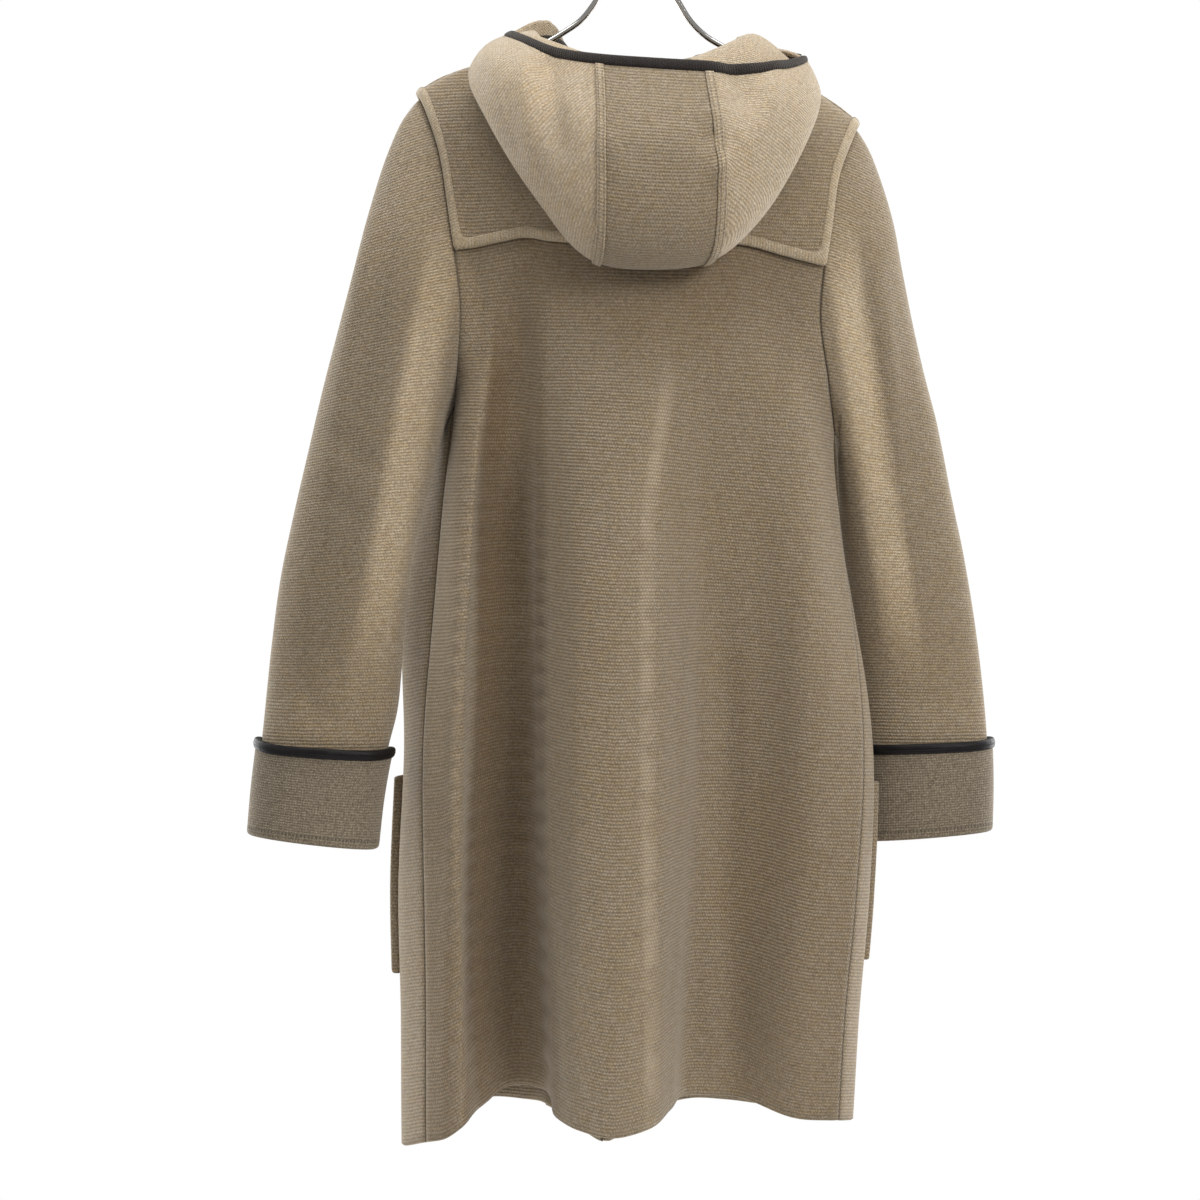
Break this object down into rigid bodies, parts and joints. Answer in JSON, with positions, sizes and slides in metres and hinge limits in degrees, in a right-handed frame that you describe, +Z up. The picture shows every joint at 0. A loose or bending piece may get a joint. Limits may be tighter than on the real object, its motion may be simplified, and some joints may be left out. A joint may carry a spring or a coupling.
{
  "type": "hooded knit coat on a wire hanger",
  "caption": "Long hooded coat of thick ribbed knit with shoulder yoke, turned-back cuffs, patch pockets and toggles, hanging open at neck, hem and cuffs on a wire hanger, rigid as shown",
  "frame": {"origin": "the inside top of the hanger's hook, where a rail holds it", "axes": "+Z up, the coat's back faces -Y, so its front faces +Y, and +X runs to the wearer's right"},
  "size_m": [0.6467, 0.2635, 1.107],
  "materials": {
    "knit": "matte",
    "yoke": "matte",
    "hood": "matte",
    "cuff": "matte",
    "tape": "matte",
    "leather": "smooth",
    "horn": "polished horn",
    "chrome": "polished"
  },
  "bodies": {
    "root": {"back": "knit", "front_left": "knit", "front_right": "knit", "sleeve_left": "knit", "sleeve_right": "knit", "yoke_back": "yoke", "yoke_front_left": "yoke", "yoke_front_right": "yoke", "yoke_binding_back": "tape", "yoke_binding_front_left": "tape", "yoke_binding_front_right": "tape", "cuff_left": "cuff", "cuff_right": "cuff", "cuff_binding_left": "leather", "cuff_binding_right": "leather", "hood_left": "hood", "hood_centre": "hood", "hood_right": "hood", "hood_binding": "leather", "pocket_left": "knit", "pocket_right": "knit", "hanger_arms": "chrome", "hanger_hook": "chrome", "loop_patch_1": "leather", "toggle_patch_1": "leather", "loop_1": "leather", "toggle_cord_1": "leather", "toggle_1": "horn", "loop_patch_2": "leather", "toggle_patch_2": "leather", "loop_2": "leather", "toggle_cord_2": "leather", "toggle_2": "horn", "loop_patch_3": "leather", "toggle_patch_3": "leather", "loop_3": "leather", "toggle_cord_3": "leather", "toggle_3": "horn", "loop_patch_4": "leather", "toggle_patch_4": "leather", "loop_4": "leather", "toggle_cord_4": "leather", "toggle_4": "horn"}
  },
  "joints": []
}
